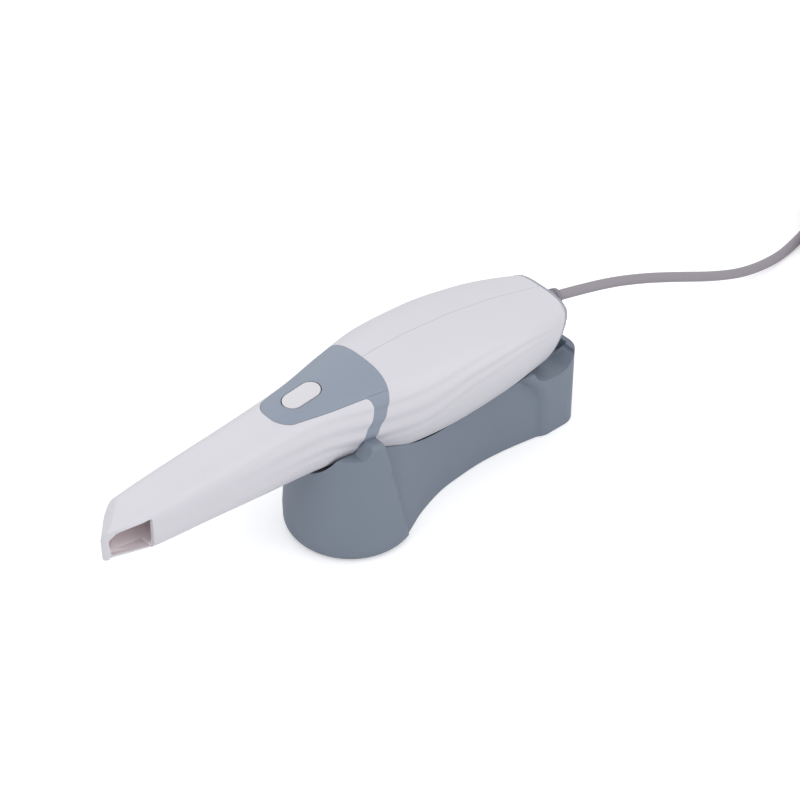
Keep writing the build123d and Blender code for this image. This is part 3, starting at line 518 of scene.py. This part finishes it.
def moulded_plastic(name, colour, roughness):
    """Moulded plastic: a fine spark-eroded grain, faint flow marks and uneven gloss."""
    shading = Shading(bpy.data.materials.new(name))
    flow = shading.noise(45.0, detail=2.0)
    grain = shading.noise(2600.0, roughness=0.6)
    gloss = shading.noise(160.0, detail=4.0)
    settings = {
        "Base Color": shading.tint(colour, 0.965, flow),
        "Roughness": gloss * 0.1 + (roughness - 0.05),
        "IOR": 1.46,
    }
    return shading.surface(settings, grain, depth=0.000012, strength=0.35)


def soft_rubber(name, colour):
    """Cable jacket or pad rubber: dull, with fine dust and long faint streaks."""
    shading = Shading(bpy.data.materials.new(name))
    dust = shading.noise(900.0, detail=5.0, roughness=0.6)
    streak = shading.noise(90.0, detail=2.0)
    settings = {
        "Base Color": shading.tint(colour, 1.12, dust * 0.5),
        "Roughness": streak * 0.16 + 0.5,
        "Specular IOR Level": 0.4,
    }
    return shading.surface(settings, dust, depth=0.00002, strength=0.3)


def worked_metal(name, colour, roughness):
    """Metal with fine tool marks."""
    shading = Shading(bpy.data.materials.new(name))
    marks = shading.noise(700.0, detail=4.0, roughness=0.6)
    settings = {
        "Base Color": shading.tint(colour, 0.85, marks),
        "Metallic": 1.0,
        "Roughness": marks * 0.2 + (roughness - 0.1),
    }
    return shading.surface(settings, marks, depth=0.00001, strength=0.25)


def mirror_coat(name):
    """Front-surface mirror in the tip, with a slight warm cast and faint haze."""
    shading = Shading(bpy.data.materials.new(name))
    haze = shading.noise(260.0)
    settings = {
        "Base Color": shading.tint(MIRROR_TINT, 0.94, haze),
        "Metallic": 1.0,
        "Roughness": haze * 0.10 + 0.20,
    }
    return shading.surface(settings)


def coated_glass(name):
    """Clear window with a faint coated sheen."""
    shading = Shading(bpy.data.materials.new(name))
    haze = shading.noise(300.0)
    settings = {
        "Base Color": shading.tint(GLASS_TINT, 0.97, haze),
        "Roughness": haze * 0.05 + 0.02,
        "Transmission Weight": 1.0,
        "IOR": 1.5,
    }
    return shading.surface(settings)


def circuit_board(name, colour):
    """Solder mask with tracks that show as slightly lighter lines."""
    shading = Shading(bpy.data.materials.new(name))
    cells = shading.node("ShaderNodeTexBrick", {"offset": 0.5}, {
        "Vector": shading.place(), "Scale": 260.0, "Mortar Size": 0.06,
        "Color1": BLACK, "Color2": BLACK, "Mortar": WHITE})
    tracks = shading.node("ShaderNodeRGBToBW", None, {0: cells})
    settings = {
        "Base Color": shading.tint(colour, 1.9, tracks),
        "Roughness": 0.35 + tracks * 0.15,
    }
    return shading.surface(settings, tracks, depth=0.00003, strength=0.4)


def studio_floor(name):
    """Pale floor that shows white to the camera where no shadow falls."""
    shading = Shading(bpy.data.materials.new(name))
    speck = shading.noise(60.0, detail=2.0)
    seen = shading.node("ShaderNodeLightPath", output="Is Camera Ray")
    diffuse = shading.node("ShaderNodeBsdfDiffuse", None, {"Color": shading.tint(FLOOR_PALE, 0.99, speck)})
    glow = shading.node("ShaderNodeEmission", None, {"Color": WHITE, "Strength": FLOOR_GLOW})
    both = shading.node("ShaderNodeAddShader", None, {0: diffuse, 1: glow})
    mixed = shading.node("ShaderNodeMixShader", None, {0: seen, 1: diffuse, 2: both})
    shading.node("ShaderNodeOutputMaterial", None, {"Surface": mixed})
    return shading.owner


def white_surroundings(name):
    """Even pale light on the object, and white where the camera, gloss or glass sees past it."""
    shading = Shading(bpy.data.worlds.new(name))
    camera, glossy, through = (shading.node("ShaderNodeLightPath", output=ray)
                               for ray in ("Is Camera Ray", "Is Glossy Ray", "Is Transmission Ray"))
    seen = shading.node("ShaderNodeMath", {"operation": "MAXIMUM"}, {0: camera, 1: glossy})
    seen = shading.node("ShaderNodeMath", {"operation": "MAXIMUM"}, {0: seen, 1: through})
    lit = shading.node("ShaderNodeBackground", None, {"Color": (*AMBIENT_COLOUR, 1), "Strength": AMBIENT})
    white = shading.node("ShaderNodeBackground", None, {"Color": WHITE})
    mixed = shading.node("ShaderNodeMixShader", None, {0: seen, 1: lit, 2: white})
    shading.node("ShaderNodeOutputWorld", None, {"Surface": mixed})
    return shading.owner


# Forms that several pieces share


def leaning_slab(name, front_x, rear_x, lean, top_z):
    """Slab between two parallel planes that lean back towards the top."""
    shift_low, shift_high = lean * (CUT_LOW - top_z), lean * (CUT_HIGH - top_z)
    outline = [(front_x + shift_low, CUT_LOW), (rear_x + shift_low, CUT_LOW),
               (rear_x + shift_high, CUT_HIGH), (front_x + shift_high, CUT_HIGH)]
    return prism(name, outline, {}, 2 * CUT_SIDE, crosswise(-CUT_SIDE))


def collar_slab(name, front_x, rear_x):
    """Slab whose faces lean as the collar's edges do."""
    return leaning_slab(name, front_x, rear_x, COLLAR_LEAN, along(TOP, COLLAR_TOP_X))


def tongue_prism(name, gap=0.0):
    """Prism over the tongue: a blunt nose, straight flanks, wings behind."""
    nose_x = -TONGUE_REACH - gap
    root_x = WING_X - gap
    root = TONGUE_ROOT_HALF + gap
    bend_x = nose_x + TONGUE_NOSE
    rise = (root - TONGUE_HALF - gap) / (root_x - bend_x)
    nose = TONGUE_HALF + gap - rise * TONGUE_NOSE
    rear_x = root_x + TONGUE_CUT
    outline = [(nose_x, -nose), (nose_x, nose), (root_x, root), (root_x, TONGUE_CUT),
               (rear_x, TONGUE_CUT), (rear_x, -TONGUE_CUT), (root_x, -TONGUE_CUT), (root_x, -root)]
    rounds = {0: TONGUE_NOSE_ROUND, 1: TONGUE_NOSE_ROUND, 2: WING_ROUND - gap, 7: WING_ROUND - gap}
    low = TONGUE_FLOOR_Z - (SLOT_DEEPER if gap else 0.0)
    return prism(name, outline, rounds, TONGUE_CUT, upright(low))


def nose_prism(name, inset=0.0):
    """Upright prism round the tip's end: near flank, slanted end and big far corner."""
    slope = tan(FLANK_ANGLE)
    slant = Vector((sin(END_SLANT), cos(END_SLANT)))
    near = FLANK_HALF - inset
    start = Vector((-TIP_REACH + inset / cos(END_SLANT), 0))

    def meet(side):
        run = (side * (near + slope * (start.x + TIP_REACH))) / (slant.y - side * slope * slant.x)
        return tuple(start + slant * run)

    back_y = near + slope * (NOSE_BACK_X + TIP_REACH)
    outline = [(NOSE_BACK_X, -back_y), meet(-1), meet(1), (NOSE_BACK_X, back_y)]
    rounds = {1: NEAR_CORNER - inset, 2: FAR_CORNER - inset}
    return prism(name, outline, rounds, NOSE_TALL, upright(NOSE_LOW))


def brow_prism(name, inset=0.0):
    """Prism along the slanted end that rounds its top and bottom edges."""
    top, bottom = along(TOP, -TIP_REACH) - inset, along(BOTTOM, -TIP_REACH) + inset
    outline = [(-inset, bottom), (-BROW_BACK, bottom - BOTTOM_RISE * BROW_BACK),
               (-BROW_BACK, top + TOP_RISE * BROW_BACK), (-inset, top)]
    s, c = sin(END_SLANT), cos(END_SLANT)
    place = Matrix(((-c, 0, s, (-TIP_REACH - s * BROW_SIDE) * MM), (s, 0, c, -c * BROW_SIDE * MM),
                    (0, 1, 0, 0), (0, 0, 0, 1)))
    rounds = {0: BOTTOM_ROUND - inset, 3: TOP_ROUND - inset}
    return prism(name, outline, rounds, 2 * BROW_SIDE, place)


def key_frame():
    """Matrix on the tongue's surface at the key, Z along the press axis, outwards."""
    rise = (along(TOP, BUTTON_X + 1) - along(TOP, BUTTON_X - 1)) / 2
    place = Vector((BUTTON_X, 0, along(TOP, BUTTON_X))) * MM
    return Matrix.Translation(place) @ Matrix.Rotation(-atan(rise), 4, "Y")


def key_prism(name, gap, low, depth):
    """Prism round the key with half-round ends, wider by the gap."""
    half, end = BUTTON_WIDTH / 2 + gap, BUTTON_LENGTH / 2 + gap
    rounds = {corner: half * END_ROUND for corner in range(4)}
    return prism(name, rectangle(-end, end, -half, half), rounds, depth, key_frame() @ upright(low))


# Sizes and colours that a user would change


class SCANNER_PG_sizes(bpy.types.PropertyGroup):
    seam_gap: FloatProperty(name="Seam", description="Gap along the seams of the handpiece, in millimetres",
                            default=0.12, min=0.05, max=0.5)
    button_gap: FloatProperty(name="Key gap", description="Gap round the key, in millimetres",
                              default=0.45, min=0.2, max=1.0)
    cable_diameter: FloatProperty(name="Cable diameter", description="Outside diameter of the cable",
                                  default=0.0044, min=0.003, max=0.008, unit="LENGTH")
    coil_points: IntProperty(name="Points a turn", description="Control points in each turn of the coil",
                             default=16, min=12, max=24)


class SCANNER_PG_colours(bpy.types.PropertyGroup):
    shell: FloatVectorProperty(name="Shell", description="White of the shells and the tip", subtype="COLOR",
                               size=3, min=0, max=1, default=(0.660, 0.648, 0.688))
    collar: FloatVectorProperty(name="Collar", description="Blue grey of the collar", subtype="COLOR",
                                size=3, min=0, max=1, default=(0.262, 0.302, 0.370))
    stand: FloatVectorProperty(name="Stand", description="Darker blue grey of the stand", subtype="COLOR",
                               size=3, min=0, max=1, default=(0.190, 0.225, 0.276))
    cable: FloatVectorProperty(name="Cable", description="Warm grey of the cable", subtype="COLOR",
                               size=3, min=0, max=1, default=(0.292, 0.268, 0.299))


def sizes():
    return bpy.context.scene.scanner_sizes


def colours():
    return bpy.context.scene.scanner_colours


# Pieces


class SCANNER_OT_handle(bpy.types.Operator):
    """The white handle behind the collar"""
    bl_idname = "scanner.handle"
    bl_label = "Handle shell"

    def execute(self, context):
        gap = sizes().seam_gap
        shell = form("handle_shell", 0.0, HANDLE_SPAN)
        core = form("core", SHELL_WALL, HANDLE_HOLLOW)
        top_seam = prism("top_seam", rectangle(CUT_LOW, CUT_HIGH, CUT_LOW, CUT_HIGH), {}, gap,
                         crosswise(-gap / 2))
        carve(shell, ("DIFFERENCE", core), ("DIFFERENCE", top_seam),
              ("INTERSECT", collar_slab("behind_collar", COLLAR_TOP_X + gap, FAR)),
              ("INTERSECT", leaning_slab("ahead_of_cap", -FAR, GASKET_FRONT_X, REAR_LEAN, REAR_TOP_Z)))
        material = moulded_plastic("shell_white", colours().shell, 0.42)
        finish(smooth(shell), "base", SLOT_OF["shell_near"], material, "shell_near", "shell_far")
        return {"FINISHED"}


class SCANNER_OT_collar(bpy.types.Operator):
    """The grey collar: a band with a tongue forwards that carries the key"""
    bl_idname = "scanner.collar"
    bl_label = "Collar and tongue"

    def execute(self, context):
        ring = form("collar_finish", 0.0, COLLAR_SPAN)
        zone = tongue_prism("tongue_zone")
        carve(zone, ("INTERSECT", collar_slab("ahead", -FAR, COLLAR_TOP_X)))
        carve(zone, ("UNION", collar_slab("band", BAND_FRONT_X, COLLAR_TOP_X)))
        crease = prism("crease", rectangle(*CREASE_X, -CREASE_SIDE, CREASE_SIDE), {}, CREASE_WIDE,
                       upright(CREASE_Z))
        carve(crease, ("DIFFERENCE", form("under_crease", CREASE_DEEP, CREASE_SPAN)))
        key_hole = key_prism("key_hole", sizes().button_gap, KEY_HOLE_LOW, KEY_HOLE_DEEP)
        carve(ring, ("DIFFERENCE", form("core", SHELL_WALL, COLLAR_HOLLOW)), ("INTERSECT", zone),
              ("DIFFERENCE", key_hole), ("DIFFERENCE", crease))
        material = moulded_plastic("collar_blue_grey", colours().collar, 0.46)
        finish(smooth(ring), "base", SLOT_OF["collar"], material, "collar")
        return {"FINISHED"}


class SCANNER_OT_tip(bpy.types.Operator):
    """The slip-on tip with its slanted end, window and mirror"""
    bl_idname = "scanner.tip"
    bl_label = "Slip-on tip"

    def execute(self, context):
        gap = sizes().seam_gap
        outside = moulded_plastic("tip_white", colours().shell, 0.40)
        sleeve = form("tip_finish", 0.0, TIP_SPAN)
        coat(sleeve, outside)
        cavity = carve(form("cavity", TIP_WALL, TIP_HOLLOW),
                       ("INTERSECT", nose_prism("inner_nose", TIP_WALL)),
                       ("INTERSECT", brow_prism("inner_brow", TIP_WALL - CAVITY_PLAY)))
        coat(cavity, moulded_plastic("tip_inside", TIP_INSIDE, 0.5))
        front_z, back_z = along(BOTTOM, WINDOW_FRONT_X) + TIP_WALL, along(BOTTOM, WINDOW_BACK_X) + TIP_WALL
        window = self.window(front_z, back_z, outside)
        lip = self.lip(Vector((WINDOW_FRONT_X, -LIP_FRONT_Y, front_z)),
                       Vector((WINDOW_BACK_X, -LIP_BACK_Y, back_z)))
        carve(sleeve, ("INTERSECT", nose_prism("nose")), ("INTERSECT", brow_prism("brow")),
              ("INTERSECT", collar_slab("ahead_of_band", -FAR, BAND_FRONT_X - gap)),
              ("DIFFERENCE", tongue_prism("slot", gap)), ("DIFFERENCE", cavity),
              ("DIFFERENCE", window), ("DIFFERENCE", lip))
        settle(smooth(sleeve), "tip", SLOT_OF["tip_sleeve"], "tip_sleeve")
        mirror = smoothed_node("tip_mirror", "tip", mirror_coat("tip_mirror_coat"))
        carve(mirror, ("INTERSECT", brow_prism("mirror_brow", TIP_WALL + MIRROR_PLAY)))
        return {"FINISHED"}

    def window(self, front_z, back_z, outside):
        """What is cut for the window; its lower and far sides take a darker copy of the inside's pink, as
        painted shade.
        """
        corner_x, corner_z = WINDOW_CORNER
        foot_x, foot_z = WINDOW_FOOT
        outline = [(WINDOW_FRONT_X + foot_x, front_z), (WINDOW_BACK_X, back_z),
                   (WINDOW_BACK_X, WINDOW_TOP_Z + WINDOW_TOP_RISE),
                   (WINDOW_FRONT_X + corner_x, WINDOW_TOP_Z),
                   (WINDOW_FRONT_X, WINDOW_TOP_Z - corner_z), (WINDOW_FRONT_X, front_z + foot_z)]
        rounds = {corner: WINDOW_EDGE for corner in range(len(outline))}
        window = prism("window", outline, rounds, WINDOW_CUT_DEEP, crosswise(WINDOW_CUT_Y))
        coat(window, outside)
        window.data.materials.append(moulded_plastic("window_sill_painted_shade", SILL_PAINTED_SHADE, 0.5))
        # Faces that become the window's lower and far sides get the darker pink: painted shade
        for face in window.data.polygons:
            face.material_index = int(face.normal.z < -0.5 or face.normal.y > 0.5)
        return window

    def lip(self, front, back):
        """What is cut from the floor's near side, so that it ends in a thin sloping lip."""
        outline = [(0, -LIP_CUT_UNDER), (0, LIP_THICK), (-LIP_SLOPE * LIP_CUT_TALL, LIP_CUT_TALL),
                   (LIP_CUT_WIDE, LIP_CUT_TALL), (LIP_CUT_WIDE, -LIP_CUT_UNDER)]
        along_lip = (back - front).normalized()
        outwards = Vector((back.y - front.y, front.x - back.x, 0)).normalized()
        downwards = along_lip.cross(outwards)
        turn = Matrix((outwards, downwards, along_lip)).transposed().to_4x4()
        return prism("lip", outline, {}, (back - front).length, Matrix.Translation(front * MM) @ turn)


class SCANNER_OT_key(bpy.types.Operator):
    """The white scan key"""
    bl_idname = "scanner.key"
    bl_label = "Scan key"

    def execute(self, context):
        key = key_prism("key_finish", 0.0, -BUTTON_HEIGHT, BUTTON_HEIGHT + BUTTON_PROUD)
        self.round_rim(key)
        flange = key_prism("key_flange", FLANGE, -BUTTON_HEIGHT - FLANGE_THICK, FLANGE_THICK)
        carve(key, ("UNION", flange))
        material = moulded_plastic("key_white", KEY_WHITE, 0.38)
        finish(smooth(key), "button", SLOT_OF["scan_button"], material, "scan_button")
        return {"FINISHED"}

    def round_rim(self, key):
        """Rounds the edge of the key's top."""
        bm = bmesh.new()
        bm.from_mesh(key.data)
        top = max(bm.faces, key=lambda face: face.calc_center_median().z)
        bmesh.ops.bevel(bm, geom=top.edges[:], offset=BUTTON_EDGE * MM, offset_type="OFFSET",
                        segments=RIM_STEPS, profile=0.5, affect="EDGES", clamp_overlap=True, material=-1)
        bm.to_mesh(key.data)
        bm.free()


class SCANNER_OT_stand(bpy.types.Operator):
    """The moulded stand, its steel plate, screws and pads"""
    bl_idname = "scanner.stand"
    bl_label = "Stand"

    def execute(self, context):
        moulding = moulded_plastic("stand_blue_grey", colours().stand, 0.56)
        smoothed_node("stand_body", "base", moulding, STAND_CREASE_ANGLE, self.ease_foot)
        smoothed_node("base_plate", "base", moulded_plastic("plate_powder_coat", PLATE_GREY, 0.6))
        pads = soft_rubber("pad_rubber", PAD_BLACK)
        for node in ("foot_pad_front", "foot_pad_rear"):
            smoothed_node(node, "base", pads)
        screws = worked_metal("screw_zinc", SCREW_ZINC, 0.35)
        for node in ("base_screw_1", "base_screw_2", "base_screw_3"):
            smoothed_node(node, "base", screws)
        return {"FINISHED"}

    def ease_foot(self, bm):
        """Draws the outside of the column's foot in towards its axis, most at the table."""
        inner, outer = FOOT_SKIN
        for vert in bm.verts:
            out = Vector((vert.co.x, vert.co.y, 0))
            height = vert.co.z / MM
            share = min(1.0, max(0.0, (out.length / MM - inner) / (outer - inner)))
            if share and height < FOOT_EASE_HEIGHT and vert.co.x < FOOT_REAR_X * MM:
                front = max(0.0, -out.normalized().x)
                reach = (FOOT_EASE + FOOT_EASE_FRONT * front) * (1 - height / FOOT_EASE_HEIGHT) ** 2
                vert.co -= out.normalized() * (share * reach * MM)


class SCANNER_OT_rear(bpy.types.Operator):
    """The grey end cap, its cream gasket and the cable gland"""
    bl_idname = "scanner.rear"
    bl_label = "End cap and gland"

    def execute(self, context):
        smoothed_node("rear_cap", "base", moulded_plastic("rim_grey", RIM_GREY, 0.5))
        smoothed_node("rear_gasket", "base", soft_rubber("gasket_cream", GASKET_CREAM))
        smoothed_node("cable_gland", "base", soft_rubber("gland_grey", GLAND_GREY))
        return {"FINISHED"}


def coil_points(points_per_turn):
    """Centre of the coiled cable: neat turns in layers, inwards and outwards by turns."""
    points = []
    angle = COIL_START
    for index, (z, turns) in enumerate(COIL_LAYERS):
        steps = round(turns * points_per_turn)
        for k in range(steps):
            inwards = k / steps if index % 2 == 0 else 1 - k / steps
            r = COIL_OUTER + (COIL_INNER - COIL_OUTER) * inwards
            points.append((COIL_CENTRE[0] + r * cos(angle), COIL_CENTRE[1] + r * sin(angle), z))
            angle -= 2 * pi * turns / steps
    return points


class SCANNER_OT_cable(bpy.types.Operator):
    """The cable, coiled behind the handpiece, and its plug"""
    bl_idname = "scanner.cable"
    bl_label = "Cable and plug"

    def execute(self, context):
        route = CABLE_RUN + coil_points(sizes().coil_points) + CABLE_CROSSING + CABLE_TAIL
        curve = bpy.data.curves.new("cable_finish", "CURVE")
        curve.dimensions = "3D"
        spline = curve.splines.new("NURBS")
        spline.points.add(len(route) - 1)
        for point, place in zip(spline.points, route):
            point.co = (*(Vector(place) * MM), 1)
        spline.order_u = 3
        spline.use_endpoint_u = True
        spline.resolution_u = 8
        curve.bevel_depth = sizes().cable_diameter / 2
        curve.bevel_resolution = 6
        curve.use_fill_caps = True
        cable = new_object("cable_finish", curve)
        jacket = soft_rubber("cable_jacket", colours().cable)
        finish(cable, "base", SLOT_OF["cable_run"], jacket, "cable_run", "cable_coil", "cable_tail")
        overmould = moulded_plastic("plug_black", PLUG_BLACK, 0.45)
        relief = smoothed_node("plug_relief", "base", overmould)
        body = smoothed_node("plug_body", "base", overmould)
        shell = smoothed_node("plug_shell", "base", worked_metal("plug_nickel", PLUG_NICKEL, 0.25))
        return {"FINISHED"}


class SCANNER_OT_inside(bpy.types.Operator):
    """Finishes on the parts inside, seen when the tip is off"""
    bl_idname = "scanner.inside"
    bl_label = "Inside parts"

    def execute(self, context):
        black = moulded_plastic("snout_black", SNOUT_BLACK, 0.5)
        smoothed_node("snout", "base", black)
        alloy = worked_metal("bench_alloy", BENCH_ALLOY, 0.45)
        anodised = worked_metal("barrel_anodised", BARREL_DARK, 0.4)
        board = circuit_board("board_green", BOARD_GREEN)
        finishes = {
            "front_glass": coated_glass("front_window_glass"),
            "optical_bench": alloy, "heat_spreader": alloy,
            "camera_barrel": anodised, "projector_barrel": anodised,
            "sensor_board": board, "projector_board": board, "main_board": board, "switch_board": board,
            "tact_switch": worked_metal("switch_steel", SWITCH_STEEL, 0.35),
            "button_plunger": black,
            "stand_ballast": worked_metal("ballast_iron", BALLAST_IRON, 0.7),
        }
        for node, material in finishes.items():
            coat(frame["nodes"][node], material)
        return {"FINISHED"}


class SCANNER_OT_stage(bpy.types.Operator):
    """Floor, soft lights, white surroundings and the camera"""
    bl_idname = "scanner.stage"
    bl_label = "Stage"

    def execute(self, context):
        scene = context.scene
        bm = bmesh.new()
        bmesh.ops.create_grid(bm, x_segments=2, y_segments=2, size=FLOOR_HALF)
        floor = object_from(bm, "studio_floor")
        coat(floor, studio_floor("studio_floor"))
        for name, place, aim, size, power in LAMPS:
            lamp = bpy.data.lights.new(name, "AREA")
            lamp.shape = "SQUARE"
            lamp.size = size
            lamp.energy = power
            holder = new_object(name, lamp)
            holder.location = place
            holder.rotation_euler = (Vector(aim) - Vector(place)).to_track_quat("-Z", "Y").to_euler()
        scene.world = white_surroundings("studio")
        scene.camera = self.camera()
        scene.view_settings.view_transform = "Standard"
        return {"FINISHED"}

    def camera(self):
        """The camera at the photograph's angle."""
        lens = bpy.data.cameras.new("camera")
        lens.lens = VIEW_LENS
        lens.sensor_width = VIEW_SENSOR
        camera = new_object("camera", lens)
        back = Vector((-cos(VIEW_TILT) * sin(VIEW_TURN), -cos(VIEW_TILT) * cos(VIEW_TURN), sin(VIEW_TILT)))
        camera.location = Vector(VIEW_AIM) + back * VIEW_DISTANCE
        camera.rotation_euler = back.to_track_quat("Z", "Y").to_euler()
        return camera


class SCANNER_PT_panel(bpy.types.Panel):
    """Lists the sizes, the colours and the pieces"""
    bl_idname = "SCANNER_PT_panel"
    bl_label = "Scanner"
    bl_space_type = "VIEW_3D"
    bl_region_type = "UI"
    bl_category = "Scanner"

    def draw(self, context):
        for group in (sizes(), colours()):
            box = self.layout.box()
            for name in group.__annotations__:
                box.prop(group, name)
        for step in STEPS:
            self.layout.operator(step.bl_idname)


STEPS = (SCANNER_OT_stage, SCANNER_OT_cable, SCANNER_OT_handle, SCANNER_OT_collar, SCANNER_OT_tip,
         SCANNER_OT_key, SCANNER_OT_rear, SCANNER_OT_stand, SCANNER_OT_inside)
CLASSES = (SCANNER_PG_sizes, SCANNER_PG_colours, *STEPS, SCANNER_PT_panel)


def register():
    for cls in CLASSES:
        bpy.utils.register_class(cls)
    bpy.types.Scene.scanner_sizes = PointerProperty(type=SCANNER_PG_sizes)
    bpy.types.Scene.scanner_colours = PointerProperty(type=SCANNER_PG_colours)


def unregister():
    del bpy.types.Scene.scanner_colours
    del bpy.types.Scene.scanner_sizes
    for cls in reversed(CLASSES):
        bpy.utils.unregister_class(cls)


def main():
    register()
    for step in STEPS:
        group, name = step.bl_idname.split(".")
        getattr(getattr(bpy.ops, group), name)()


if __name__ == "__main__":
    main()
